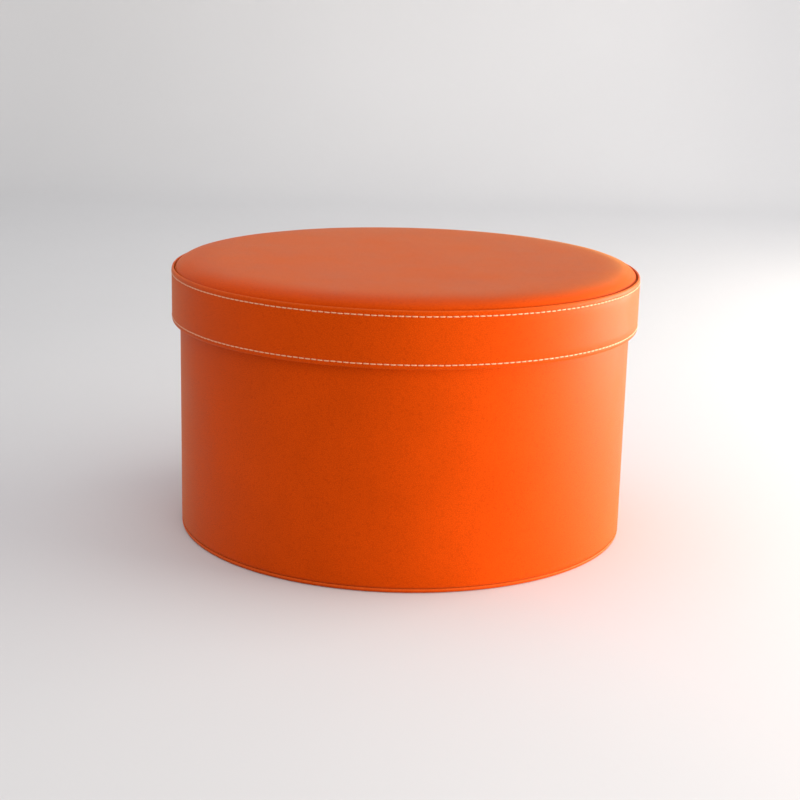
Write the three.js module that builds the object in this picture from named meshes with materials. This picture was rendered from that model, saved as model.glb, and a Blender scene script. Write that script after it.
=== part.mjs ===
import * as THREE from 'three';

// A round hat box: a rolled greyboard drum on a wrapped base plate, and a lid with a padded top
// that slides down over it. Millimetres, +Z up, origin at the middle of the underside. The lap in
// each rolled board is at the back, towards +Y.

// Overall
const lidDiameter = 320;        // across the lid's band
const bodyHeight = 170.6;       // from the underside to the top of the body's rim
const bandOverlap = 26;         // how far the lid's band comes down past the body's rim
const sideClearance = 0.7;      // all round, between the lid's lining and the body's cover
const restClearance = 0.3;      // between the body's rim and the lid's ceiling

// Sheet and board stock
const leatherette = 0.5;        // the orange covering
const liningCloth = 0.4;        // the pale lining
const bandCore = 0.5;           // stiffener inside the lid's band
const wallBoardThickness = 2.5;
const ringBoardThickness = 2;
const topBoardThickness = 2.5;
const baseBoardThickness = 1.5;
const floorBoardThickness = 2;
const ceilingBoardThickness = 1.5;
const glueLine = 0.1;           // between two glued layers

// Folds and turn-ins
const coverFold = 0.9;          // outside radius where the covering goes over a board's edge
const liningFold = 0.5;         // the same for the lining
const baseTurnIn = 14;          // covering turned in on top of the base plate
const rimTurnIn = 20;           // covering turned over the rim and down inside
const liningTurnIn = 12;        // lining turned in behind the floor and ceiling pads
const bandReturn = 10;          // width of the fold at each edge of the lid's band
const padClearance = 0.3;       // around the floor pad and around the ceiling pad
const liningReveal = 5;         // covering left showing between the rim and the lining
const liningStep = 3;           // height over which the lining steps in over the turned-in covering
const bandOverhang = 0.4;       // how far the band's bottom edge hides the ring's edge

// The lid's padded top and its band
const crownHeight = 11;         // from the top board to the middle of the padded top
const crownSharpness = 16;      // power of the outline: higher gives a flatter top, tighter shoulder
const lipHeight = 4.7;          // how far the band stands up past the top board
const upperStitchInset = 3.45;  // from the lip's top down to the upper row of stitches
const lowerStitchInset = 2.9;   // from the band's bottom edge up to the lower row
const threadWidth = 0.7;
const threadHeight = 0.35;      // a sewn thread lies flattened
const threadSink = 0.2;         // how deep the row pulls the covering in

// The laps in the rolled boards
const buttGap = 0.4;            // between the two ends of a rolled board
const tapeWidth = 24;
const tapeThickness = 0.2;

const segments = 48;             // facets around the box
const foldSteps = 2;             // facets round a fold
const crownSteps = 10;           // facets from the lid's edge to its middle

// Radii, worked inwards from the lid's band to the hollow of the box
const lidRadius = lidDiameter / 2;
const bandThickness = 2 * leatherette + bandCore + 2 * glueLine;
const topCoverRadius = lidRadius - bandThickness - glueLine;
const ringBoardRadius = topCoverRadius - leatherette - glueLine;
const ringBoardInnerRadius = ringBoardRadius - ringBoardThickness;
const ringLiningInnerRadius = ringBoardInnerRadius - glueLine - liningCloth;
const bodyRadius = ringLiningInnerRadius - sideClearance;
const wallBoardRadius = bodyRadius - leatherette - glueLine;
const wallBoardInnerRadius = wallBoardRadius - wallBoardThickness;
const rimInnerRadius = wallBoardInnerRadius - glueLine - leatherette;
const wallLiningRadius = wallBoardInnerRadius - glueLine;
const rimLiningRadius = rimInnerRadius - glueLine;
const floorPadRadius = wallLiningRadius - liningCloth - padClearance;
const ceilingPadRadius = ringLiningInnerRadius - padClearance;

// Heights, worked upwards
const baseThickness = wrappedThickness(baseBoardThickness, leatherette);
const wallBottom = baseThickness + glueLine;
const wallHeight = bodyHeight - wallBottom;
const floorPadThickness = wrappedThickness(floorBoardThickness, liningCloth);
const bandBottom = bodyHeight - bandOverlap;
const ceilingBottom = bodyHeight + restClearance;
const ceilingPadThickness = wrappedThickness(ceilingBoardThickness, liningCloth);
const topBoardBottom = ceilingBottom + ceilingPadThickness + glueLine;
const topBoardTop = topBoardBottom + topBoardThickness;
const bandHeight = topBoardTop + lipHeight - bandBottom;
const ringLiningBottom = bandBottom + bandOverhang;
const ringBoardBottom = ringLiningBottom + liningCloth + glueLine;
const ringBoardHeight = topBoardBottom - glueLine - ringBoardBottom;
const upperStitchHeight = bandHeight - upperStitchInset;

const colours = {
  leatherette: '#c9480f',
  thread: '#f0d3b4',
  lining: '#d9cbb6',
  greyboard: '#8d867a',
  kraftTape: '#a98656',
  foam: '#e6dfc8',
  bandCore: '#c9c2b4',
};

// Thickness of a board with a sheet wrapped round it
function wrappedThickness(board, sheet) {
  return board + 2 * (sheet + glueLine);
}

// A solid turned about Z from an outline of [radius, height] pairs
function turned(outline) {
  const points = outline.map(([radius, height]) => new THREE.Vector2(radius, height));
  return new THREE.LatheGeometry(points, segments).rotateX(Math.PI / 2);
}

// The same, for an outline that closes on itself
function turnedRing(outline) {
  return turned([...outline, outline[0]]);
}

// Points of a quarter circle about [radius, height], from one angle in degrees to 90 more
function quarter(radius, height, size, fromAngle) {
  const points = [];
  for (let step = 0; step <= foldSteps; step++) {
    const angle = THREE.MathUtils.degToRad(fromAngle + (90 * step) / foldSteps);
    points.push([radius + size * Math.cos(angle), height + size * Math.sin(angle)]);
  }
  return points;
}

// A fold's outside radius, kept small enough to leave the sheet its thickness at a sharp board edge
function foldRadius(wanted, sheet, thickness) {
  return Math.min(wanted, 2.2 * sheet, 0.48 * thickness);
}

function discGeometry(radius, thickness) {
  return turned([[0, 0], [radius, 0], [radius, thickness], [0, thickness]]);
}

// A sheet wrapped round a disc: whole underneath, up round the edge, turned in on top
function wrappedDiscGeometry(radius, board, sheet, fold, turnIn) {
  const thickness = wrappedThickness(board, sheet);
  const size = foldRadius(fold, sheet, thickness);
  return turned([
    [0, 0],
    ...quarter(radius - size, size, size, -90),
    ...quarter(radius - size, thickness - size, size, 0),
    [radius - turnIn, thickness],
    [radius - turnIn, thickness - sheet],
    [radius - sheet, thickness - sheet],
    [radius - sheet, sheet],
    [0, sheet],
  ]);
}

// The radius of a turned surface at an angle: its facets are flat, so it dips between the corners
function facetRadius(radius, angle) {
  const facet = (2 * Math.PI) / segments;
  const fromCorner = ((angle % facet) + facet) % facet;
  return (radius * Math.cos(facet / 2)) / Math.cos(fromCorner - facet / 2);
}

// Points along a turned surface's facets from one angle to another, as seen from above
function facetArc(radius, fromAngle, toAngle) {
  const facet = (2 * Math.PI) / segments;
  const angles = [fromAngle];
  for (let corner = Math.ceil(fromAngle / facet + 0.01); corner * facet < toAngle - 0.001; corner++) {
    angles.push(corner * facet);
  }
  angles.push(toAngle);
  return angles.map((angle) => {
    const reach = facetRadius(radius, angle);
    return new THREE.Vector2(reach * Math.cos(angle), reach * Math.sin(angle));
  });
}

function extrudedGeometry(outline, height) {
  return new THREE.ExtrudeGeometry(new THREE.Shape(outline), { depth: height, bevelEnabled: false });
}

// A board rolled into a hoop: its ends meet at the back, thinned outside to take the tape
function rolledBoardGeometry(radius, thickness, height) {
  const back = Math.PI / 2;
  const endAngle = buttGap / 2 / radius;
  const thinAngle = (tapeWidth / 2 + glueLine) / radius;
  const thinRadius = radius - tapeThickness - glueLine;
  const innerRadius = radius - thickness;
  return extrudedGeometry([
    ...facetArc(thinRadius, back + endAngle, back + thinAngle),
    ...facetArc(radius, back + thinAngle, back + 2 * Math.PI - thinAngle),
    ...facetArc(thinRadius, back + 2 * Math.PI - thinAngle, back + 2 * Math.PI - endAngle),
    ...facetArc(innerRadius, back + endAngle, back + 2 * Math.PI - endAngle).reverse(),
  ], height);
}

// Gummed tape over the place where a rolled board's ends meet
function seamTapeGeometry(radius, height) {
  const back = Math.PI / 2;
  const halfAngle = tapeWidth / 2 / radius;
  return extrudedGeometry([
    ...facetArc(radius, back - halfAngle, back + halfAngle),
    ...facetArc(radius - tapeThickness, back - halfAngle, back + halfAngle).reverse(),
  ], height);
}

// The drum's covering: turned under the wall, up the outside, over the rim and down inside
function wallCoverGeometry() {
  const foot = foldRadius(coverFold, leatherette, Infinity);
  const rim = foldRadius(coverFold, leatherette, bodyRadius - rimInnerRadius);
  return turnedRing([
    [wallBoardInnerRadius, 0],
    ...quarter(bodyRadius - foot, foot, foot, -90),
    ...quarter(bodyRadius - rim, wallHeight - rim, rim, 0),
    ...quarter(rimInnerRadius + rim, wallHeight - rim, rim, 90),
    [rimInnerRadius, wallHeight - rimTurnIn],
    [rimInnerRadius + leatherette, wallHeight - rimTurnIn],
    [rimInnerRadius + leatherette, wallHeight - leatherette],
    [bodyRadius - leatherette, wallHeight - leatherette],
    [bodyRadius - leatherette, leatherette],
    [wallBoardInnerRadius, leatherette],
  ]);
}

// The drum's lining: on the board below, stepped in over the turned-in covering above
function wallLiningGeometry() {
  const top = wallHeight - liningReveal;
  const stepTop = wallHeight - rimTurnIn - glueLine;
  const stepBottom = stepTop - liningStep;
  return turnedRing([
    [wallLiningRadius - liningCloth, 0],
    [wallLiningRadius, 0],
    [wallLiningRadius, stepBottom],
    [rimLiningRadius, stepTop],
    [rimLiningRadius, top],
    [rimLiningRadius - liningCloth, top],
    [rimLiningRadius - liningCloth, stepTop],
    [wallLiningRadius - liningCloth, stepBottom],
  ]);
}

// The padded top's outline from its edge to the middle, rising from the given height
function crownOutline(radius, bottom, rise) {
  const points = [];
  for (let step = 0; step <= crownSteps; step++) {
    const share = Math.cos((Math.PI / 2) * (step / crownSteps));
    const drop = share ** crownSharpness;
    const reach = step === crownSteps ? 0 : radius * share;
    points.push([reach, bottom + rise * Math.sqrt(1 - drop)]);
  }
  return points;
}

function foamPadGeometry() {
  const radius = ringBoardRadius - glueLine;
  const rise = crownHeight - leatherette - 3 * glueLine;
  return turned([[0, 0], ...crownOutline(radius, 0, rise)]);
}

// The lid's covering: over the pad and down the outside of the ring as a skirt
function topCoverGeometry() {
  const skirt = topBoardTop - ringLiningBottom;
  const inner = crownOutline(topCoverRadius - leatherette, skirt, crownHeight - leatherette);
  return turned([
    ...inner.reverse(),
    [topCoverRadius - leatherette, 0],
    [topCoverRadius, 0],
    ...crownOutline(topCoverRadius, skirt, crownHeight),
  ]);
}

// A shallow channel where a row of stitches pulls the band in, going up the outside
function stitchChannel(height) {
  const half = threadWidth / 2 + glueLine;
  return [
    [lidRadius, height - half - threadSink],
    [lidRadius - threadSink, height - half],
    [lidRadius - threadSink, height + half],
    [lidRadius, height + half + threadSink],
  ];
}

// The lid's band: a strip folded over its stiffener at both edges, with two stitch channels
function bandStripGeometry() {
  const inner = lidRadius - bandThickness;
  const size = foldRadius(coverFold, leatherette, bandThickness);
  return turnedRing([
    [inner, bandReturn],
    ...quarter(inner + size, size, size, 180),
    ...quarter(lidRadius - size, size, size, -90),
    ...stitchChannel(lowerStitchInset),
    ...stitchChannel(upperStitchHeight),
    ...quarter(lidRadius - size, bandHeight - size, size, 0),
    ...quarter(inner + size, bandHeight - size, size, 90),
    [inner, bandHeight - bandReturn],
    [inner + leatherette, bandHeight - bandReturn],
    [inner + leatherette, bandHeight - leatherette],
    [lidRadius - leatherette, bandHeight - leatherette],
    [lidRadius - leatherette, leatherette],
    [inner + leatherette, leatherette],
    [inner + leatherette, bandReturn],
  ]);
}

// The stiffener inside the band's folds
function bandCoreGeometry() {
  const outer = lidRadius - leatherette - glueLine;
  const height = bandHeight - 2 * (leatherette + glueLine);
  return turnedRing([[outer - bandCore, 0], [outer, 0], [outer, height], [outer - bandCore, height]]);
}

// One row of stitching as a closed run of flattened thread lying in its channel
function stitchRowGeometry() {
  const inner = lidRadius - threadSink + glueLine;
  const middle = inner + threadHeight / 2;
  const half = threadWidth / 2;
  return turnedRing([
    [inner, -half / 2],
    [middle, -half],
    [inner + threadHeight, -half / 2],
    [inner + threadHeight, half / 2],
    [middle, half],
    [inner, half / 2],
  ]);
}

// The ring's lining: down the inside and turned out under the ring's bottom edge
function ringLiningGeometry() {
  const size = foldRadius(liningFold, liningCloth, Infinity);
  const inner = ringLiningInnerRadius;
  const top = topBoardBottom - glueLine - ringLiningBottom;
  return turnedRing([
    [ringBoardRadius, 0],
    [ringBoardRadius, liningCloth],
    [inner + liningCloth, liningCloth],
    [inner + liningCloth, top],
    [inner, top],
    ...quarter(inner + size, size, size, 180),
  ]);
}

// A named piece at its height, in its own material
function piece(name, geometry, height, colour, roughness) {
  const material = new THREE.MeshStandardMaterial({ color: colour, roughness, metalness: 0 });
  const mesh = new THREE.Mesh(geometry, material);
  mesh.name = name;
  mesh.position.z = height;
  return mesh;
}

function buildBox() {
  const box = new THREE.Group();
  const wallBoardBottom = wallBottom + leatherette + glueLine;
  const wallBoardHeight = bodyHeight - leatherette - glueLine - wallBoardBottom;
  const wallBoard = rolledBoardGeometry(wallBoardRadius, wallBoardThickness, wallBoardHeight);
  const baseCover = wrappedDiscGeometry(
    bodyRadius, baseBoardThickness, leatherette, coverFold, baseTurnIn);
  const floorLining = wrappedDiscGeometry(
    floorPadRadius, floorBoardThickness, liningCloth, liningFold, liningTurnIn);
  const baseBoard = discGeometry(bodyRadius - leatherette - glueLine, baseBoardThickness);
  const floorBoard = discGeometry(floorPadRadius - liningCloth - glueLine, floorBoardThickness);

  box.add(piece('base_cover', baseCover, 0, colours.leatherette, 0.5));
  box.add(piece('base_board', baseBoard, leatherette + glueLine, colours.greyboard, 0.9));
  box.add(piece('wall_board', wallBoard, wallBoardBottom, colours.greyboard, 0.9));
  const tape = seamTapeGeometry(wallBoardRadius, wallBoardHeight);
  box.add(piece('wall_seam_tape', tape, wallBoardBottom, colours.kraftTape, 0.7));
  box.add(piece('wall_cover', wallCoverGeometry(), wallBottom, colours.leatherette, 0.5));
  box.add(piece('wall_lining', wallLiningGeometry(), wallBottom, colours.lining, 0.95));
  const floorBoardBottom = wallBottom + liningCloth + glueLine;
  box.add(piece('floor_board', floorBoard, floorBoardBottom, colours.greyboard, 0.9));

  // The floor's lining is whole on top and turned in underneath, so it is turned over
  const lining = piece('floor_lining', floorLining, wallBottom + floorPadThickness,
    colours.lining, 0.95);
  lining.rotation.x = Math.PI;
  box.add(lining);
  return box;
}

function buildLid() {
  const lid = new THREE.Group();
  lid.position.z = bandBottom;
  const above = (height) => height - bandBottom;
  const ringBoard = rolledBoardGeometry(ringBoardRadius, ringBoardThickness, ringBoardHeight);
  const ceilingLining = wrappedDiscGeometry(
    ceilingPadRadius, ceilingBoardThickness, liningCloth, liningFold, liningTurnIn);
  const ceilingBoard = discGeometry(
    ceilingPadRadius - liningCloth - glueLine, ceilingBoardThickness);
  const ceilingBoardBottom = ceilingBottom + liningCloth + glueLine;
  const topBoard = discGeometry(ringBoardRadius, topBoardThickness);

  lid.add(piece('lid_ring_board', ringBoard, above(ringBoardBottom), colours.greyboard, 0.9));
  const tape = seamTapeGeometry(ringBoardRadius, ringBoardHeight);
  lid.add(piece('lid_ring_seam_tape', tape, above(ringBoardBottom), colours.kraftTape, 0.7));
  const ringLining = ringLiningGeometry();
  lid.add(piece('lid_ring_lining', ringLining, above(ringLiningBottom), colours.lining, 0.95));
  lid.add(piece('lid_ceiling_lining', ceilingLining, above(ceilingBottom), colours.lining, 0.95));
  lid.add(piece('lid_ceiling_board', ceilingBoard, above(ceilingBoardBottom),
    colours.greyboard, 0.9));
  lid.add(piece('lid_top_board', topBoard, above(topBoardBottom), colours.greyboard, 0.9));
  lid.add(piece('lid_foam_pad', foamPadGeometry(), above(topBoardTop + glueLine),
    colours.foam, 0.95));
  lid.add(piece('lid_top_cover', topCoverGeometry(), above(ringLiningBottom),
    colours.leatherette, 0.5));
  lid.add(piece('lid_band_strip', bandStripGeometry(), 0, colours.leatherette, 0.5));
  lid.add(piece('lid_band_core', bandCoreGeometry(), leatherette + glueLine,
    colours.bandCore, 0.8));
  lid.add(piece('upper_stitching', stitchRowGeometry(), upperStitchHeight, colours.thread, 0.6));
  lid.add(piece('lower_stitching', stitchRowGeometry(), lowerStitchInset, colours.thread, 0.6));
  return lid;
}

const hatBox = new THREE.Group();
hatBox.add(buildBox(), buildLid());

export default hatBox;
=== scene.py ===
import math
import random

import bmesh
import bpy
from mathutils import Matrix, Vector, noise


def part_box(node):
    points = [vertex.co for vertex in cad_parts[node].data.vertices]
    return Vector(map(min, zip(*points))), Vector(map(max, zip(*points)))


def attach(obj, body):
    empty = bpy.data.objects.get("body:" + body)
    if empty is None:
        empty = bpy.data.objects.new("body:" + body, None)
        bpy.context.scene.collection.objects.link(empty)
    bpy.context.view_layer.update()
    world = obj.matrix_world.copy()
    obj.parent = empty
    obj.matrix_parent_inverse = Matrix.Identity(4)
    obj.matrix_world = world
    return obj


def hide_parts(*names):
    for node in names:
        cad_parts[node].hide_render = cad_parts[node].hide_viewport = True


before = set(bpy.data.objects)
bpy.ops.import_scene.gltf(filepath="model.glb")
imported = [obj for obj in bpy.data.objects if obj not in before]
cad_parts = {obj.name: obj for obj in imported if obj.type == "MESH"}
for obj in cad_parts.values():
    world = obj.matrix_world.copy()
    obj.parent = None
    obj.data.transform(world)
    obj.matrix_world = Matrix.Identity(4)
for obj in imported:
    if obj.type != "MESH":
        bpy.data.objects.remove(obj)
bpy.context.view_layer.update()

scene = bpy.context.scene
scene.view_settings.view_transform = "Standard"

print("hat box: shared helpers")

# What several pieces share, in metres
stock = {
    "leatherette": 0.0005,   # orange covering
    "lining": 0.0004,        # suede cloth
    "glueLine": 0.0001,      # between two glued layers
    "leatherFold": 0.0009,   # outside radius where the covering goes round an edge
    "liningFold": 0.0005,
    "liningTurnIn": 0.012,   # of the cloth wrapped round the floor board and the ceiling board
    "innerTurn": 1.5,        # inside a soft turn, the corner is cut off this many sheets out
    "wearReach": 0.0012,     # how far from the middle of a fold the covering is rubbed
    "around": 256,           # faces round a turned piece
    "weld": 2e-6,            # points closer than this become one
}

# numbers of the sockets that share a name: a colour Mix node's, and a Vector Math node's scale
factor, fromColour, toColour, mixedColour, byScale = 0, 6, 7, 2, 3

# where most of a noise's values lie
noiseSpread = {"From Min": 0.3, "From Max": 0.7}


def linear(hexColour):
    # sRGB hex to the linear values that a shader takes
    channels = [int(hexColour[i:i + 2], 16) / 255 for i in (1, 3, 5)]
    return [c / 12.92 if c <= 0.04045 else ((c + 0.055) / 1.055) ** 2.4 for c in channels] + [1.0]


def addNode(material, kind, inputs=(), links=(), **settings):
    # adds one node: its settings, the values of its inputs, and what its inputs are linked to
    tree = material.node_tree
    node = tree.nodes.new(kind)
    for key, value in settings.items():
        setattr(node, key, value)
    for key, value in dict(inputs).items():
        node.inputs[key].default_value = value
    for key, source in dict(links).items():
        tree.links.new(source, node.inputs[key])
    return node


def newMaterial(name):
    material = bpy.data.materials.new(name)
    material.use_nodes = True
    material.node_tree.nodes.clear()
    return material


def finishMaterial(material, inputs, links):
    # its shader, with what is the same all over on the shader's own sockets, and its output
    shader = addNode(material, "ShaderNodeBsdfPrincipled", inputs, links)
    addNode(material, "ShaderNodeOutputMaterial", (), {"Surface": shader.outputs["BSDF"]})
    return material


def ovalTurn(radius, height, across, up, start, steps=7):
    # outline points of a quarter of an oval, from one angle in degrees to 90 more
    angles = [math.radians(start + 90 * i / steps) for i in range(steps + 1)]
    return [(radius + across * math.cos(a), height + up * math.sin(a)) for a in angles]


def quarterTurn(radius, height, size, start):
    return ovalTurn(radius, height, size, size, start, steps=5)


def spinOutline(bm, outline, closed, around, angle=2 * math.pi, turnFrom=0.0):
    # turns an outline of (radius, height) points about Z, all the way round or part of it
    whole = angle == 2 * math.pi
    doublings = 4 if whole else 0                # a sixteenth of a full turn is copied round
    start = Matrix.Rotation(turnFrom, 3, "Z")
    ring = [bm.verts.new(start @ Vector((radius, 0, height))) for radius, height in outline]
    edges = [bm.edges.new(pair) for pair in zip(ring, ring[1:])]
    if closed:
        edges.append(bm.edges.new((ring[-1], ring[0])))
    spun = bmesh.ops.spin(bm, geom=ring + edges, cent=(0, 0, 0), axis=(0, 0, 1),
                          angle=angle / 2 ** doublings, steps=around // 2 ** doublings,
                          use_merge=False, use_normal_flip=False, use_duplicate=False)
    for doubling in range(doublings):
        turn = Matrix.Rotation(angle / 2 ** (doublings - doubling), 3, "Z")
        copied = bmesh.ops.duplicate(bm, geom=bm.verts[:] + bm.edges[:] + bm.faces[:])["geom"]
        verts = [item for item in copied if isinstance(item, bmesh.types.BMVert)]
        bmesh.ops.rotate(bm, cent=(0, 0, 0), verts=verts, matrix=turn)
    if not whole:
        lastEdges = [item for item in spun["geom_last"] if isinstance(item, bmesh.types.BMEdge)]
        for loop in (edges, lastEdges):
            bmesh.ops.contextual_create(bm, geom=loop)
    bmesh.ops.remove_doubles(bm, verts=bm.verts, dist=stock["weld"])


def finishPiece(bm, name, material, body, nodes=(), wornAt=(), sharpAngle=38):
    # turns a bmesh into a finished object that rides on its body; wornAt lists fold heights
    bmesh.ops.recalc_face_normals(bm, faces=bm.faces)
    mesh = bpy.data.meshes.new(name)
    bm.to_mesh(mesh)
    bm.free()
    mesh.polygons.foreach_set("use_smooth", [True] * len(mesh.polygons))
    mesh.set_sharp_from_angle(angle=math.radians(sharpAngle))
    wear = mesh.attributes.new("wear", "FLOAT", "POINT")
    wear.data.foreach_set("value", [
        max([0.0] + [1 - abs(v.co.z - height) / stock["wearReach"] for height in wornAt])
        for v in mesh.vertices])
    mesh.materials.append(material)
    piece = bpy.data.objects.new(name, mesh)
    scene.collection.objects.link(piece)
    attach(piece, body)
    if nodes:
        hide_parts(*nodes)
    return piece


def unwrapOnDrum(bm, radius):
    # a UV map in metres on a cylinder: along the arc, and up
    layer = bm.loops.layers.uv.new("drum")
    for face in bm.faces:
        middle = face.calc_center_median()
        turn = math.atan2(middle.y, middle.x)
        for loop in face.loops:
            co = loop.vert.co
            angle = math.atan2(co.y, co.x)
            angle += 2 * math.pi * round((turn - angle) / (2 * math.pi))
            loop[layer].uv = (angle * radius, co.z)


print("hat box: materials")

leatherValues = {
    "colour": "#D44806",       # saturated orange
    "paintedCreaseShade": "#C03C04",       # painted shade in the grain's creases, darker where the pebbles meet
    "scuffed": "#F07A3C",      # rubbed folds
    "reflectionTint": "#FF7A20",    # highlights stay warm, as through a tinted top coat
    "veil": "#FFF078",         # what the sheen adds where the surface is seen at a low angle
    "grain": 0.0011,           # pebble width; the real one is about 0.5 mm, drawn coarser to show
    "wander": 0.6,             # how far the pebbles stray from an even pattern, in pebbles
    "creaseShare": 0.16,       # width of a crease, in pebbles
    "pores": 0.00045,
    "poreDepth": 0.35,         # against the height of a pebble
    "bumpStrength": 0.35,
    "bumpDepth": 0.00004,
    "clouds": 0.055,           # width of the slow changes of tone
    "darkest": 0.93,
    "palest": 1.05,
    "scuffs": 1 / 420,         # width of a rubbed spot, 2.4 mm
    "scuffStrength": 0.5,
    "smoothest": 0.44,         # roughness, which changes with the tone
    "roughest": 0.53,
    "ior": 1.46,
    "reflection": 0.13,        # well under the usual 0.5, for a dull top coat
    "sheen": 0.125,
    "sheenRoughness": 0.4,
}


def makeLeatherette():
    # polyurethane leatherette, embossed with a shallow pebble grain: satin, with a soft veil where
    # it is seen at a low angle, and folds rubbed a little lighter
    v = leatherValues
    material = newMaterial("polyurethane leatherette")
    place = addNode(material, "ShaderNodeTexCoord").outputs["Object"]
    warp = addNode(material, "ShaderNodeTexNoise",
                   {"Scale": v["wander"] / v["grain"], "Detail": 2.0}, {"Vector": place})
    strayed = addNode(material, "ShaderNodeVectorMath", {byScale: v["wander"] * v["grain"]},
                      {0: warp.outputs["Color"]}, operation="SCALE")
    moved = addNode(material, "ShaderNodeVectorMath", (),
                    {0: place, 1: strayed.outputs["Vector"]}, operation="ADD")
    pebbles = addNode(material, "ShaderNodeTexVoronoi", {"Scale": 1 / v["grain"]},
                      {"Vector": moved.outputs["Vector"]}, feature="DISTANCE_TO_EDGE")
    creases = addNode(material, "ShaderNodeMapRange", {"From Max": v["creaseShare"]},
                      {"Value": pebbles.outputs["Distance"]})
    pores = addNode(material, "ShaderNodeTexNoise", {"Scale": 1 / v["pores"], "Detail": 1.0},
                    {"Vector": place})
    surface = addNode(material, "ShaderNodeMath", {1: v["poreDepth"]},
                      {0: pores.outputs["Fac"], 2: creases.outputs["Result"]},
                      operation="MULTIPLY_ADD")
    bump = addNode(material, "ShaderNodeBump",
                   {"Strength": v["bumpStrength"], "Distance": v["bumpDepth"]},
                   {"Height": surface.outputs["Value"]})

    # painted shade: the grain's creases drawn darker than the pebbles
    creaseShaded = addNode(material, "ShaderNodeMix",
                      {fromColour: linear(v["paintedCreaseShade"]), toColour: linear(v["colour"])},
                      {factor: creases.outputs["Result"]}, data_type="RGBA")
    clouds = addNode(material, "ShaderNodeTexNoise",
                     {"Scale": 1 / v["clouds"], "Detail": 5.0, "Roughness": 0.62},
                     {"Vector": place})
    cloudTone = addNode(material, "ShaderNodeMapRange",
                        {**noiseSpread, "To Min": v["darkest"], "To Max": v["palest"]},
                        {"Value": clouds.outputs["Fac"]})
    toned = addNode(material, "ShaderNodeVectorMath", (),
                    {0: creaseShaded.outputs[mixedColour], byScale: cloudTone.outputs["Result"]},
                    operation="SCALE")
    wear = addNode(material, "ShaderNodeAttribute", attribute_name="wear")
    scuffs = addNode(material, "ShaderNodeTexNoise", {"Scale": 1 / v["scuffs"], "Detail": 4.0},
                     {"Vector": place})
    scuffed = addNode(material, "ShaderNodeMath", (),
                      {0: wear.outputs["Fac"], 1: scuffs.outputs["Fac"]}, operation="MULTIPLY")
    rubbed = addNode(material, "ShaderNodeMath", {1: v["scuffStrength"]},
                     {0: scuffed.outputs["Value"]}, operation="MULTIPLY")
    finished = addNode(material, "ShaderNodeMix", {toColour: linear(v["scuffed"])},
                       {factor: rubbed.outputs["Value"], fromColour: toned.outputs["Vector"]},
                       data_type="RGBA")
    gloss = addNode(material, "ShaderNodeMapRange",
                    {**noiseSpread, "To Min": v["smoothest"], "To Max": v["roughest"]},
                    {"Value": clouds.outputs["Fac"]})
    return finishMaterial(
        material,
        {"IOR": v["ior"], "Specular IOR Level": v["reflection"],
         "Specular Tint": linear(v["reflectionTint"]), "Sheen Weight": v["sheen"],
         "Sheen Roughness": v["sheenRoughness"], "Sheen Tint": linear(v["veil"])},
        {"Base Color": finished.outputs[mixedColour], "Roughness": gloss.outputs["Result"],
         "Normal": bump.outputs["Normal"]})


threadValues = {
    "colour": "#F5B78E",
    "paintedShading": "#D8895B",        # painted shade between the plies
    "plyPitch": 0.00045,       # along the thread, from one ply to the next
    "plySlant": 38,            # degrees
    "plyDepth": 0.00012,
    "bumpStrength": 0.6,
    "roughness": 0.6,
    "sheen": 0.15,
}


def makeThread():
    # twisted polyester sewing thread: cream, a slight sheen, its plies crossing it at a slant
    v = threadValues
    material = newMaterial("twisted polyester thread")
    place = addNode(material, "ShaderNodeUVMap", uv_map="drum").outputs["UV"]
    slanted = addNode(material, "ShaderNodeMapping",
                      {"Rotation": (0, 0, math.radians(v["plySlant"]))}, {"Vector": place})
    # a wave node's bands are 2 pi / 20 apart at a scale of 1
    plies = addNode(material, "ShaderNodeTexWave", {"Scale": math.pi / 10 / v["plyPitch"]},
                    {"Vector": slanted.outputs["Vector"]}, wave_type="BANDS",
                    bands_direction="X")
    # painted shade: the thread drawn darker between its plies
    tone = addNode(material, "ShaderNodeMix",
                   {fromColour: linear(v["paintedShading"]), toColour: linear(v["colour"])},
                   {factor: plies.outputs["Fac"]}, data_type="RGBA")
    bump = addNode(material, "ShaderNodeBump",
                   {"Strength": v["bumpStrength"], "Distance": v["plyDepth"]},
                   {"Height": plies.outputs["Fac"]})
    return finishMaterial(
        material, {"Roughness": v["roughness"], "Sheen Weight": v["sheen"]},
        {"Base Color": tone.outputs[mixedColour], "Normal": bump.outputs["Normal"]})


suedeValues = {
    "colour": "#D8C9B2",
    "brushed": "#CCBCA3",      # where the nap lies the other way
    "strokes": 0.03,           # width of the brushed patches
    "patchEdge": {"From Min": 0.34, "From Max": 0.68},    # how softly a patch begins and ends
    "nap": 0.0006,             # width of the nap's tufts; the fibres are finer, drawn to show
    "napTone": {"From Min": 0.25, "From Max": 0.75, "To Min": 0.86, "To Max": 1.08},
    "napDepth": 0.0002,
    "bumpStrength": 0.5,
    "roughness": 0.95,
    "reflection": 0.2,
    "sheen": 0.5,
    "sheenRoughness": 0.5,
}


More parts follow.
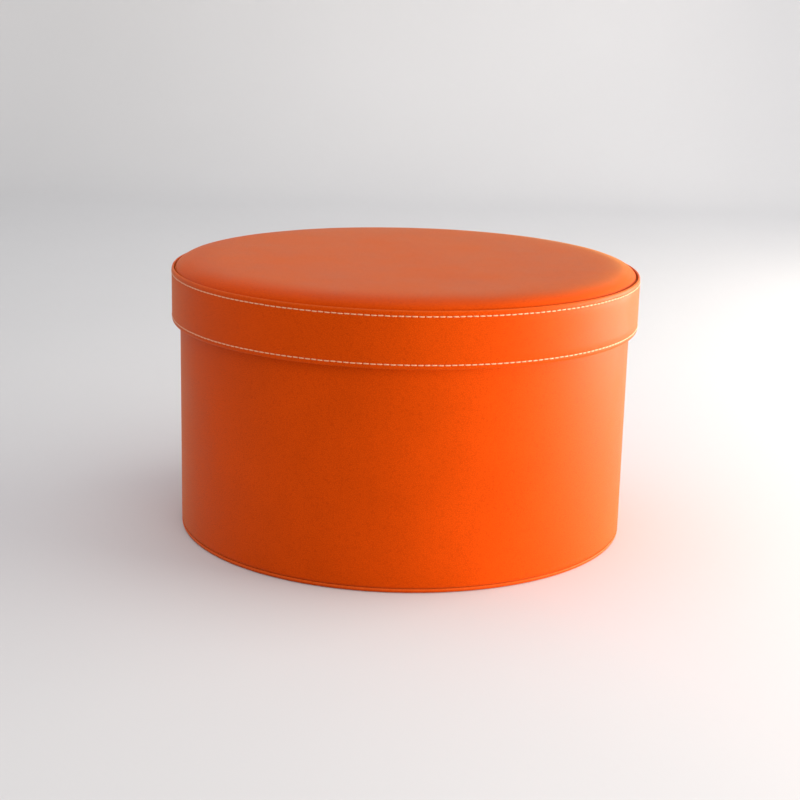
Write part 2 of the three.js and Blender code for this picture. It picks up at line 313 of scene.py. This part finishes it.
def makeSuede():
    # flocked suede lining cloth: matt, with a soft nap that catches light at the edges
    v = suedeValues
    material = newMaterial("flocked suede cloth")
    place = addNode(material, "ShaderNodeTexCoord").outputs["Object"]
    nap = addNode(material, "ShaderNodeTexNoise", {"Scale": 1 / v["nap"], "Detail": 3.0},
                  {"Vector": place})
    strokes = addNode(material, "ShaderNodeTexNoise",
                      {"Scale": 1 / v["strokes"], "Detail": 3.0, "Distortion": 0.3},
                      {"Vector": place})
    patches = addNode(material, "ShaderNodeMapRange", v["patchEdge"],
                      {"Value": strokes.outputs["Fac"]})
    brushed = addNode(material, "ShaderNodeMix",
                      {fromColour: linear(v["brushed"]), toColour: linear(v["colour"])},
                      {factor: patches.outputs["Result"]}, data_type="RGBA")
    napTone = addNode(material, "ShaderNodeMapRange", v["napTone"], {"Value": nap.outputs["Fac"]})
    toned = addNode(material, "ShaderNodeVectorMath", (),
                    {0: brushed.outputs[mixedColour], byScale: napTone.outputs["Result"]},
                    operation="SCALE")
    bump = addNode(material, "ShaderNodeBump",
                   {"Strength": v["bumpStrength"], "Distance": v["napDepth"]},
                   {"Height": nap.outputs["Fac"]})
    return finishMaterial(
        material,
        {"Roughness": v["roughness"], "Specular IOR Level": v["reflection"],
         "Sheen Weight": v["sheen"], "Sheen Roughness": v["sheenRoughness"]},
        {"Base Color": toned.outputs["Vector"], "Normal": bump.outputs["Normal"]})


boardValues = {
    "greyboard": ("#8B8478", "#5F594F", "#B9B1A2"),     # pulp, dark flecks, pale fibres
    "fibre card": ("#CBC2B2", "#A99E8B", "#E2DBCD"),
    "fleck": 0.0016,           # width of a fleck
    "flatness": 3.0,           # it is this much wider than it is high
    "fleckEdge": {"From Min": 0.62, "From Max": 0.72, "To Max": 0.8},
    "fibre": 0.0007,           # between fibres, drawn coarser than real to show
    "fibreEdge": {"From Min": 0.5, "From Max": 0.7, "To Max": 0.6},
    "bumpStrength": 0.4,
    "bumpDepth": 0.0001,
    "roughness": 0.92,
}


def makeBoard(name):
    # pressed recycled board: matt pulp with dark flecks and pale fibres in it
    v = boardValues
    pulp, dark, pale = v[name]
    material = newMaterial(name)
    place = addNode(material, "ShaderNodeTexCoord").outputs["Object"]
    drawn = addNode(material, "ShaderNodeMapping", {"Scale": (1.0, 1.0, v["flatness"])},
                    {"Vector": place})
    flecks = addNode(material, "ShaderNodeTexNoise", {"Scale": 1 / v["fleck"], "Detail": 2.0},
                     {"Vector": drawn.outputs["Vector"]})
    fleckMask = addNode(material, "ShaderNodeMapRange", v["fleckEdge"],
                        {"Value": flecks.outputs["Fac"]})
    fibres = addNode(material, "ShaderNodeTexNoise",
                     {"Scale": 1 / v["fibre"], "Detail": 4.0, "Distortion": 1.5},
                     {"Vector": place})
    fibreMask = addNode(material, "ShaderNodeMapRange", v["fibreEdge"],
                        {"Value": fibres.outputs["Fac"]})
    flecked = addNode(material, "ShaderNodeMix",
                      {fromColour: linear(pulp), toColour: linear(dark)},
                      {factor: fleckMask.outputs["Result"]}, data_type="RGBA")
    fibred = addNode(material, "ShaderNodeMix", {toColour: linear(pale)},
                     {factor: fibreMask.outputs["Result"],
                      fromColour: flecked.outputs[mixedColour]}, data_type="RGBA")
    bump = addNode(material, "ShaderNodeBump",
                   {"Strength": v["bumpStrength"], "Distance": v["bumpDepth"]},
                   {"Height": fibres.outputs["Fac"]})
    return finishMaterial(
        material, {"Roughness": v["roughness"]},
        {"Base Color": fibred.outputs[mixedColour], "Normal": bump.outputs["Normal"]})


tapeValues = {
    "rib": "#8F6C41",
    "paper": "#B8935F",
    "ribWidth": 1 / 900,       # 1.1 mm, drawn coarser than a real rib to show
    "ribLength": 1 / 60,       # 17 mm
    "bumpStrength": 0.3,
    "bumpDepth": 0.0001,
    "roughness": 0.6,
}


def makeKraftTape():
    # gummed kraft paper tape: brown, faintly ribbed along its length, a little shine from the gum
    v = tapeValues
    material = newMaterial("gummed kraft tape")
    place = addNode(material, "ShaderNodeTexCoord").outputs["Object"]
    drawn = addNode(material, "ShaderNodeMapping",
                    {"Scale": (1 / v["ribWidth"], 1 / v["ribWidth"], 1 / v["ribLength"])},
                    {"Vector": place})
    ribs = addNode(material, "ShaderNodeTexNoise", {"Scale": 1.0, "Detail": 3.0},
                   {"Vector": drawn.outputs["Vector"]})
    tone = addNode(material, "ShaderNodeMix",
                   {fromColour: linear(v["rib"]), toColour: linear(v["paper"])},
                   {factor: ribs.outputs["Fac"]}, data_type="RGBA")
    bump = addNode(material, "ShaderNodeBump",
                   {"Strength": v["bumpStrength"], "Distance": v["bumpDepth"]},
                   {"Height": ribs.outputs["Fac"]})
    return finishMaterial(
        material, {"Roughness": v["roughness"]},
        {"Base Color": tone.outputs[mixedColour], "Normal": bump.outputs["Normal"]})


foamValues = {
    # painted shade in the cells' pits
    "paintedPitShade": "#BFB48F",
    "cellWall": "#EFE7CE",
    "cell": 1 / 900,           # 1.1 mm, drawn coarser than a real cell to show
    "bumpStrength": 0.8,
    "bumpDepth": 0.0004,
    "roughness": 0.95,
}


def makeFoam():
    # open-cell polyurethane foam: cream, matt, pitted with small cells, with painted shade in the
    # pits
    v = foamValues
    material = newMaterial("polyurethane foam")
    place = addNode(material, "ShaderNodeTexCoord").outputs["Object"]
    cells = addNode(material, "ShaderNodeTexVoronoi", {"Scale": 1 / v["cell"]}, {"Vector": place})
    # painted shade: darker in the middle of each cell, where its pit sinks
    tone = addNode(material, "ShaderNodeMix",
                   {fromColour: linear(v["paintedPitShade"]), toColour: linear(v["cellWall"])},
                   {factor: cells.outputs["Distance"]}, data_type="RGBA")
    bump = addNode(material, "ShaderNodeBump",
                   {"Strength": v["bumpStrength"], "Distance": v["bumpDepth"]},
                   {"Height": cells.outputs["Distance"]})
    return finishMaterial(
        material, {"Roughness": v["roughness"]},
        {"Base Color": tone.outputs[mixedColour], "Normal": bump.outputs["Normal"]})


leatherette = makeLeatherette()
thread = makeThread()
suede = makeSuede()
greyboard = makeBoard("greyboard")
fibreCard = makeBoard("fibre card")
kraftTape = makeKraftTape()
foam = makeFoam()

print("hat box: boards, tapes and stiffener keep their own shape")

for node, material in {
    "base_board": greyboard, "wall_board": greyboard, "floor_board": greyboard,
    "lid_ring_board": greyboard, "lid_ceiling_board": greyboard, "lid_top_board": greyboard,
    "wall_seam_tape": kraftTape, "lid_ring_seam_tape": kraftTape, "lid_band_core": fibreCard,
}.items():
    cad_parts[node].data.materials.clear()
    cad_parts[node].data.materials.append(material)

print("hat box: base plate")

baseValues = {
    "turnIn": 0.014,
    "footIn": 0.0016,        # the soft turn under the plate: how far in, and how far up
    "footUp": 0.0018,
    "upperFold": 0.0008,
    "rubbedLine": 0.0004,    # below the top of the plate
}


def wrappedDisc(node, sheet, turn, fold, turnIn, wholeAbove=False):
    # outline of a sheet round a disc: whole underneath and turned in on top, or the other way up
    low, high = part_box(node)
    radius, thickness = high.x, high.z - low.z
    across, up = turn                            # of the turn at the whole side
    inside = stock["innerTurn"] * sheet
    outline = [(0, 0), *ovalTurn(radius - across, up, across, up, -90),
               *quarterTurn(radius - fold, thickness - fold, fold, 0),
               (radius - turnIn, thickness), (radius - turnIn, thickness - sheet),
               (radius - sheet, thickness - sheet), (radius - sheet, inside),
               (radius - inside, sheet), (0, sheet)]
    if wholeAbove:
        outline = [(r, thickness - z) for r, z in outline]
    return [(r, low.z + z) for r, z in outline]


def makeBaseCover():
    v = baseValues
    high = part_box("base_cover")[1]
    outline = wrappedDisc("base_cover", stock["leatherette"], (v["footIn"], v["footUp"]),
                          v["upperFold"], v["turnIn"])
    bm = bmesh.new()
    spinOutline(bm, outline, False, stock["around"])
    finishPiece(bm, "base_cover_leather", leatherette, "box", ["base_cover"],
                [high.z - v["rubbedLine"]])


makeBaseCover()

print("hat box: drum")

wallValues = {
    "rim": 0.0037,           # rim's thickness: covering, board and turned-in covering
    "turnIn": 0.02,          # covering inside the rim
    "underside": 0.0031,     # how far the covering goes under the wall
    "footIn": 0.0015,        # the soft turn at the wall's foot: how far in, and how far up
    "footUp": 0.002,
    "straightFrom": 0.0025,  # from the foot or the rim to where the wall runs straight
    "lap": 0.012,            # the covering's end laps over its beginning at the back
    "lapLift": 0.00045,
    "lapGap": 0.00002,       # between the lap and the covering under it
    "lapFoot": 0.00005,      # the lap ends this far above the foot, and this far below the rim
    "lapTop": 0.001,
    "lapTaper": 0.003,       # where it thins out under the rim
    "lapFaces": 12,          # across the lap
}


def wallCoverOutline():
    v = wallValues
    low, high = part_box("wall_cover")
    sheet, fold = stock["leatherette"], stock["leatherFold"]
    radius, rim, under = high.x, high.x - v["rim"], high.x - v["underside"]
    inside = stock["innerTurn"] * sheet
    return [
        (under, low.z),
        *ovalTurn(radius - v["footIn"], low.z + v["footUp"], v["footIn"], v["footUp"], -90),
        (radius, low.z + v["straightFrom"]),
        (radius, high.z - v["straightFrom"]),
        *quarterTurn(radius - fold, high.z - fold, fold, 0),
        *quarterTurn(rim + fold, high.z - fold, fold, 90),
        (rim, high.z - v["turnIn"]),
        (rim + sheet, high.z - v["turnIn"]),
        (rim + sheet, high.z - sheet),
        (radius - sheet, high.z - sheet),
        (radius - sheet, low.z + inside),
        (radius - inside, low.z + sheet),
        (under, low.z + sheet),
    ]


def makeWallCover():
    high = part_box("wall_cover")[1]
    bm = bmesh.new()
    spinOutline(bm, wallCoverOutline(), True, stock["around"])
    finishPiece(bm, "wall_cover_leather", leatherette, "box", ["wall_cover"],
                [high.z])


def makeWallLap():
    # the lapped end of the covering, a thin strip standing on the drum at the back
    v = wallValues
    low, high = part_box("wall_cover")
    foot, inner, outer = high.x - v["footIn"], high.x + v["lapGap"], high.x + v["lapLift"]
    outline = [
        (foot, low.z + stock["leatherette"]), (foot, low.z + v["lapFoot"]),
        *ovalTurn(foot, low.z + v["footUp"], outer - foot, v["footUp"] - v["lapFoot"], -90)[1:],
        (outer, high.z - v["lapTaper"]),
        (inner, high.z - v["lapTop"]), (inner, low.z + v["footUp"]),
    ]
    bm = bmesh.new()
    spinOutline(bm, outline, True, v["lapFaces"], v["lap"] / high.x, math.radians(90))
    finishPiece(bm, "wall_cover_lap", leatherette, "box")


liningValues = {
    "step": 0.003,           # height over which it steps in over the turned-in covering
    "bendAcross": 0.00008,   # the cloth bends softly above and below the step
    "bendNear": 0.0002,
    "bendFar": 0.0004,
}


def makeWallLining():
    v = liningValues
    low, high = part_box("wall_lining")
    sheet, stepIn = stock["lining"], stock["leatherette"] + stock["glueLine"]
    outer, upper = high.x, high.x - stepIn       # outer faces below and above the step
    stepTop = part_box("wall_cover")[1].z - wallValues["turnIn"] - stock["glueLine"]
    stepLow = stepTop - v["step"]
    outline = [
        (outer - sheet, low.z), (outer, low.z), (outer, stepLow), (upper, stepTop),
        (upper, high.z), (upper - sheet, high.z),
        (upper - sheet, stepTop + v["bendFar"]),
        (upper - sheet + v["bendAcross"], stepTop - v["bendNear"]),
        (outer - sheet - v["bendAcross"], stepLow + v["bendNear"]),
        (outer - sheet, stepLow - v["bendFar"]),
    ]
    bm = bmesh.new()
    spinOutline(bm, outline, True, stock["around"])
    finishPiece(bm, "wall_lining_suede", suede, "box", ["wall_lining"])


def makePadLining(name, node, body, wholeAbove):
    # the cloth wrapped round a pad's board: the floor's shows its whole side above, the
    # ceiling's below
    fold = stock["liningFold"]
    outline = wrappedDisc(node, stock["lining"], (fold, fold), fold, stock["liningTurnIn"],
                          wholeAbove)
    bm = bmesh.new()
    spinOutline(bm, outline, False, stock["around"])
    finishPiece(bm, name, suede, body, [node])


makeWallCover()
makeWallLap()
makeWallLining()
makePadLining("floor_lining_suede", "floor_lining", "box", True)

print("hat box: lid's padded top")

crownValues = {
    "sharpness": 24,         # power of the outline: flat in the middle, a tight shoulder
    "rings": 44,             # of faces, from the edge to the middle
    "foamRings": 24,
    "foamAround": 128,
    "still": 0.0005,         # below this height above the board nothing swells or gathers
    "unevenness": 0.00016,   # slow swells of the foam under the covering
    "swell": 0.045,          # width of a swell
    "swellEnd": 30,          # power by which the swells die out at the edge
    "puckers": 0.00012,      # short gathers where the covering is pulled over the edge
    "puckerCount": 46,
    "puckerLine": 0.972,     # where they are deepest, as a share of the radius
    "puckerReach": 0.04,     # and how far from there they go
    "puckerPlace": (5.1, 2.3, 0.7),    # another part of the noise than the swells use
}


def crownHeight(radius, edge, bottom, rise):
    return bottom + rise * math.sqrt(max(0.0, 1 - (radius / edge) ** crownValues["sharpness"]))


def crownOutline(edge, bottom, rise, rings):
    # from the edge to the middle
    shares = [math.cos(math.pi / 2 * i / rings) for i in range(rings)] + [0.0]
    return [(edge * s, crownHeight(edge * s, edge, bottom, rise)) for s in shares]


def unevenCrown(bm, edge, bottom, rise):
    # the foam isn't quite level, and the covering gathers slightly along the shoulder
    v = crownValues
    for vert in bm.verts:
        if vert.co.z <= bottom + v["still"]:
            continue
        share = math.hypot(vert.co.x, vert.co.y) / edge
        angle = math.atan2(vert.co.y, vert.co.x)
        swell = noise.noise(Vector((vert.co.x, vert.co.y, 0)) / v["swell"])
        # a circle through the noise, about one of its waves long for each gather
        around = Vector((math.cos(angle), math.sin(angle), 0)) * v["puckerCount"] / 6
        pucker = noise.noise(around + Vector(v["puckerPlace"]))
        nearLine = max(0.0, 1 - abs(share - v["puckerLine"]) / v["puckerReach"])
        vert.co.z += v["unevenness"] * swell * (1 - share ** v["swellEnd"])
        vert.co.z += v["puckers"] * pucker * nearLine


def makeTopCover():
    low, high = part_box("lid_top_cover")
    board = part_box("lid_top_board")[1]
    sheet, rings = stock["leatherette"], crownValues["rings"]
    edge, rise = high.x, high.z - board.z
    outline = [
        *reversed(crownOutline(edge - sheet, board.z, rise - sheet, rings)),
        (edge - sheet, low.z), (edge, low.z),
        *crownOutline(edge, board.z, rise, rings),
    ]
    bm = bmesh.new()
    spinOutline(bm, outline, False, stock["around"])
    unevenCrown(bm, edge, board.z, rise)
    piece = finishPiece(bm, "lid_top_leather", leatherette, "lid",
                        ["lid_top_cover"])


def makeFoamPad():
    low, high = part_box("lid_foam_pad")
    edge, rise = high.x, high.z - low.z
    outline = [(0, low.z), *crownOutline(edge, low.z, rise, crownValues["foamRings"])]
    bm = bmesh.new()
    spinOutline(bm, outline, False, crownValues["foamAround"])
    unevenCrown(bm, edge, low.z, rise)
    piece = finishPiece(bm, "lid_foam_filling", foam, "lid", ["lid_foam_pad"])


makeTopCover()
makeFoamPad()

print("hat box: lid's stitched band")

bandValues = {
    "thickness": 0.0017,     # folded leatherette with its stiffener
    "lipDrop": 0.0024,       # the lip's fold is soft: how far down its outside it still curves
    "hemRise": 0.0019,       # and the same at the band's lower edge
    "return": 0.01,          # width of the turned-in edges
    "stitches": 244,         # in each row, 4.1 mm from hole to hole
    "columnsPerStitch": 4,
    "panelParts": 6,         # faces from one row to the other
    "faceShare": 0.7,        # of the sheet's thickness that is drawn in round a hole
    "channelWidth": 0.0013,
    "channelDepth": 0.0002,
    "channelSteps": 6,
    "holeDepth": 0.00035,
    "holeReach": 0.0005,     # up and down from the row
    "seamDepth": 0.0004,
}


def stitchRows():
    rows = [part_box(node) for node in ("lower_stitching", "upper_stitching")]
    return [(low.z + high.z) / 2 for low, high in rows]


def channel(radius, height):
    # a rounded dip where a row of stitches pulls the band in
    half, depth = bandValues["channelWidth"] / 2, bandValues["channelDepth"]
    steps = bandValues["channelSteps"]
    turns = [-math.pi + 2 * math.pi * i / steps for i in range(steps + 1)]
    return [(radius - depth * (1 + math.cos(t)) / 2, height + half * t / math.pi) for t in turns]


def bandOutline(lower, upper):
    v, sheet = bandValues, stock["leatherette"]
    low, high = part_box("lid_band_strip")
    outer, inner, middle = high.x, high.x - v["thickness"], v["thickness"] / 2
    parts = v["panelParts"]
    return [
        (inner, low.z + v["return"]),
        *ovalTurn(outer - middle, low.z + middle, middle, middle, 180),
        *ovalTurn(outer - middle, low.z + v["hemRise"], middle, v["hemRise"], -90)[1:],
        *channel(outer, lower),
        *[(outer, lower + (upper - lower) * i / parts) for i in range(1, parts)],
        *channel(outer, upper),
        *ovalTurn(outer - middle, high.z - v["lipDrop"], middle, v["lipDrop"], 0),
        *ovalTurn(outer - middle, high.z - middle, middle, middle, 90)[1:],
        (inner, high.z - v["return"]),
        (inner + sheet, high.z - v["return"]),
        (inner + sheet, high.z - sheet),
        (outer - sheet, high.z - sheet),
        (outer - sheet, low.z + sheet),
        (inner + sheet, low.z + sheet),
        (inner + sheet, low.z + v["return"]),
    ]


def makeBand():
    v = bandValues
    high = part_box("lid_band_strip")[1]
    lower, upper = stitchRows()
    bm = bmesh.new()
    spinOutline(bm, bandOutline(lower, upper), True, v["stitches"] * v["columnsPerStitch"],
                turnFrom=math.radians(90))
    pitch = 2 * math.pi / v["stitches"]
    for vert in bm.verts:
        radius = math.hypot(vert.co.x, vert.co.y)
        if radius < high.x - stock["leatherette"] * v["faceShare"]:
            continue
        angle = math.atan2(vert.co.x, vert.co.y)          # 0 at the back
        fromRow = min(abs(vert.co.z - lower), abs(vert.co.z - upper)) / v["holeReach"]
        fromHole = abs((angle / pitch + 0.5) % 1 - 0.5) * v["columnsPerStitch"]
        sink = v["holeDepth"] * max(0.0, 1 - fromHole) * max(0.0, 1 - fromRow)
        if abs(angle) < pitch / v["columnsPerStitch"] / 2:
            sink = max(sink, v["seamDepth"])               # the band's two ends meet here
        vert.co.xy *= 1 - sink / radius
    finishPiece(bm, "lid_band_leather", leatherette, "lid", ["lid_band_strip"],
                [high.z])


stitchValues = {
    "width": 0.00078,        # of the flattened thread
    "height": 0.00042,
    "reach": 0.98,           # of the pitch, with the ends that go down into the holes
    "shownShare": 0.57,      # of the stitch that lies on the band
    "endDepth": 1.9,         # how far the ends go down, in thread heights
    "endWidth": 0.62,        # of the thread's width
    "endPower": 6,           # how suddenly it narrows there
    "sides": 8,
    "cuts": 6,               # along it, where it can bend
    "slant": 0.00004,        # each stitch's rise from one hole to the next
    "wobble": 0.00007,       # up or down, different for each stitch
}


def shapeStitch(bm, radius, height):
    # one stitch lying on the band: a flattened thread whose ends go down into the holes
    v = stitchValues
    length = 2 * math.pi * radius / bandValues["stitches"] * v["reach"]
    bmesh.ops.create_cone(bm, cap_ends=True, segments=v["sides"], radius1=0.5, radius2=0.5,
                          depth=1.0)
    long = [e for e in bm.edges if abs(e.verts[0].co.z - e.verts[1].co.z) > 0.5]
    bmesh.ops.subdivide_edges(bm, edges=long, cuts=v["cuts"], use_grid_fill=False)
    for vert in bm.verts:
        along = vert.co.z                                   # -0.5 to 0.5
        full = 1 - abs(2 * along) ** v["endPower"]          # 1 in the middle, 0 at the ends
        shown = min(1.0, (0.5 - abs(along)) / (0.5 - v["shownShare"] / 2))
        sunk = v["height"] * v["endDepth"] * (1 - math.sin(math.pi / 2 * shown))
        side = vert.co.x * v["width"] * (v["endWidth"] + (1 - v["endWidth"]) * full)
        lift = v["height"] * (vert.co.y + 0.5)
        distance = radius - bandValues["channelDepth"] + lift - sunk
        angle = along * length / radius
        vert.co = (distance * math.sin(angle), distance * math.cos(angle),
                   height + side + v["slant"] * along)


def makeStitches(name, node, height, seed):
    # a full row: the one stitch copied round the band, each a little different
    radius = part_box("lid_band_strip")[1].x
    draw = random.Random(seed)
    count = bandValues["stitches"]
    pitch = 2 * math.pi / count
    bm = bmesh.new()
    shapeStitch(bm, radius, height)
    first = list(bm.verts) + list(bm.edges) + list(bm.faces)
    for index in range(1, count):
        copied = bmesh.ops.duplicate(bm, geom=first)["geom"]
        verts = [item for item in copied if isinstance(item, bmesh.types.BMVert)]
        bmesh.ops.rotate(bm, cent=(0, 0, 0), verts=verts,
                         matrix=Matrix.Rotation(index * pitch, 3, "Z"))
        bmesh.ops.translate(bm, verts=verts,
                            vec=(0, 0, draw.uniform(-1, 1) * stitchValues["wobble"]))
    bmesh.ops.rotate(bm, cent=(0, 0, 0), verts=bm.verts,
                     matrix=Matrix.Rotation(pitch / 2, 3, "Z"))
    unwrapOnDrum(bm, radius)
    finishPiece(bm, name, thread, "lid", [node], sharpAngle=60)


makeBand()
lowerRow, upperRow = stitchRows()
makeStitches("lower_stitch_row", "lower_stitching", lowerRow, seed=3)
makeStitches("upper_stitch_row", "upper_stitching", upperRow, seed=8)

print("hat box: lid's lining")

ringValues = {
    "board": 0.002,          # thickness of the ring's board
}


def makeRingLining():
    # the cloth inside the ring, turned out under its lower edge
    low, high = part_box("lid_ring_lining")
    sheet, fold = stock["lining"], stock["liningFold"]
    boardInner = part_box("lid_ring_board")[1].x - ringValues["board"]
    inner = boardInner - stock["glueLine"] - sheet
    outline = [
        (high.x, low.z), (high.x, low.z + sheet), (inner + sheet, low.z + sheet),
        (inner + sheet, high.z), (inner, high.z),
        *quarterTurn(inner + fold, low.z + fold, fold, 180),
    ]
    bm = bmesh.new()
    spinOutline(bm, outline, True, stock["around"])
    finishPiece(bm, "lid_ring_suede", suede, "lid", ["lid_ring_lining"])


makeRingLining()
makePadLining("lid_ceiling_suede", "lid_ceiling_lining", "lid", False)

print("hat box: camera, floor and light")

viewValues = {
    "lens": 73.57,
    "distance": 1.1487,
    "lookAtHeight": 0.088,
    "elevation": 14.105,      # degrees, as are the rest
    "pan": -0.095,
    "tilt": -0.126,
    "roll": 1.42,
}


def makeCamera():
    v = viewValues
    elevation, pan, tilt, roll = [math.radians(v[key])
                                  for key in ("elevation", "pan", "tilt", "roll")]
    data = bpy.data.cameras.new("camera")
    data.lens = v["lens"]
    camera = bpy.data.objects.new("camera", data)
    scene.collection.objects.link(camera)
    place = Vector((0, -math.cos(elevation), math.sin(elevation))) * v["distance"]
    camera.matrix_world = (
        Matrix.Translation(place + Vector((0, 0, v["lookAtHeight"])))
        @ Matrix.Rotation(math.pi / 2 - elevation, 4, "X")
        @ Matrix.Rotation(-pan, 4, "Y")
        @ Matrix.Rotation(tilt, 4, "X")
        @ Matrix.Rotation(roll, 4, "Z"))
    scene.camera = camera


stageValues = {
    "width": 6.0,
    "front": -2.4,
    "back": 1.7,              # where the floor begins to bend up
    "bend": 0.8,              # radius
    "bendSteps": 15,
    "height": 2.6,
    "drop": 0.0001,           # the floor lies just under the object, so that no faces coincide
    "tones": ("#DEDDDD", "#E4E3E3"),
    "mottle": 2.2,            # patches of tone to a metre
    # painted shade darker to the left, and painted light paler at the back
    "across": {"From Min": -0.7, "From Max": 0.5, "To Min": 0.78, "To Max": 1.0},
    "paintedBackLight": {"From Min": 0.2, "From Max": 1.6, "To Min": 1.0, "To Max": 1.12},
    "roughness": 0.9,
}


def makeSweepPaper():
    # matt studio paper: faintly mottled, with painted shade to the left and painted light at the
    # back
    v = stageValues
    material = newMaterial("matt paper sweep")
    place = addNode(material, "ShaderNodeTexCoord").outputs["Object"]
    mottle = addNode(material, "ShaderNodeTexNoise", {"Scale": v["mottle"], "Detail": 3.0},
                     {"Vector": place})
    axes = addNode(material, "ShaderNodeSeparateXYZ", (), {"Vector": place})
    # painted shade to the left and painted light at the back, scaling the paper's tone
    across = addNode(material, "ShaderNodeMapRange", v["across"], {"Value": axes.outputs["X"]})
    paintedBackLight = addNode(material, "ShaderNodeMapRange", v["paintedBackLight"], {"Value": axes.outputs["Y"]})
    paintedShading = addNode(material, "ShaderNodeMath", (),
                    {0: across.outputs["Result"], 1: paintedBackLight.outputs["Result"]},
                    operation="MULTIPLY")
    darker, paler = v["tones"]
    tone = addNode(material, "ShaderNodeMix",
                   {fromColour: linear(darker), toColour: linear(paler)},
                   {factor: mottle.outputs["Fac"]}, data_type="RGBA")
    shaded = addNode(material, "ShaderNodeVectorMath", (),
                     {0: tone.outputs[mixedColour], byScale: paintedShading.outputs["Value"]},
                     operation="SCALE")
    return finishMaterial(material, {"Roughness": v["roughness"]},
                          {"Base Color": shaded.outputs["Vector"]})


def makeStage():
    # a pale seamless sweep: floor, a wide bend, and a wall behind
    v = stageValues
    turns = [math.pi / 2 * i / v["bendSteps"] for i in range(v["bendSteps"] + 1)]
    bend = [(v["back"] + v["bend"] * math.sin(a), v["bend"] * (1 - math.cos(a))) for a in turns]
    side = [(v["front"], 0.0), *bend, (v["back"] + v["bend"], v["height"])]
    bm = bmesh.new()
    verts = [bm.verts.new((-v["width"] / 2, y, z - v["drop"])) for y, z in side]
    edges = [bm.edges.new(pair) for pair in zip(verts, verts[1:])]
    drawn = bmesh.ops.extrude_edge_only(bm, edges=edges)["geom"]
    moved = [item for item in drawn if isinstance(item, bmesh.types.BMVert)]
    bmesh.ops.translate(bm, verts=moved, vec=(v["width"], 0, 0))
    bmesh.ops.recalc_face_normals(bm, faces=bm.faces)
    mesh = bpy.data.meshes.new("sweep")
    bm.to_mesh(mesh)
    bm.free()
    mesh.polygons.foreach_set("use_smooth", [True] * len(mesh.polygons))
    mesh.materials.append(makeSweepPaper())
    sweep = bpy.data.objects.new("sweep", mesh)
    scene.collection.objects.link(sweep)


# window: a long low window to the right; skylight: soft light from above; fill: from the front,
# so that the shadow under the band isn't black
lightValues = {
    # name: (place, aimed at, width, height, watts, colour)
    "window": ((1.2, 0.05, 0.15), (0, 0, 0.1), 1.6, 0.28, 43.0, "#FFF6EA"),
    "skylight": ((0.1, 0.25, 1.9), (0, 0, 0.15), 1.8, 1.2, 6.2, "#F6F8FF"),
    "fill": ((0.25, -1.1, 1.0), (0, 0, 0.1), 0.8, 0.8, 3.2, "#FFFDF6"),
}
skyValues = {"colour": "#EFF0F3", "strength": 0.82}


def makeLights():
    for name, (place, target, width, height, watts, colour) in lightValues.items():
        data = bpy.data.lights.new(name, "AREA")
        data.shape = "RECTANGLE"
        data.size, data.size_y = width, height
        data.energy = watts
        data.color = linear(colour)[:3]
        light = bpy.data.objects.new(name, data)
        light.visible_camera = False
        light.location = place
        aim = Vector(target) - Vector(place)
        light.rotation_euler = aim.to_track_quat("-Z", "Y").to_euler()
        scene.collection.objects.link(light)


def makeSky():
    world = bpy.data.worlds.new("sky")
    world.use_nodes = True
    background = world.node_tree.nodes["Background"]
    background.inputs["Color"].default_value = linear(skyValues["colour"])
    background.inputs["Strength"].default_value = skyValues["strength"]
    scene.world = world


makeCamera()
makeStage()
makeLights()
makeSky()

print("hat box: done")
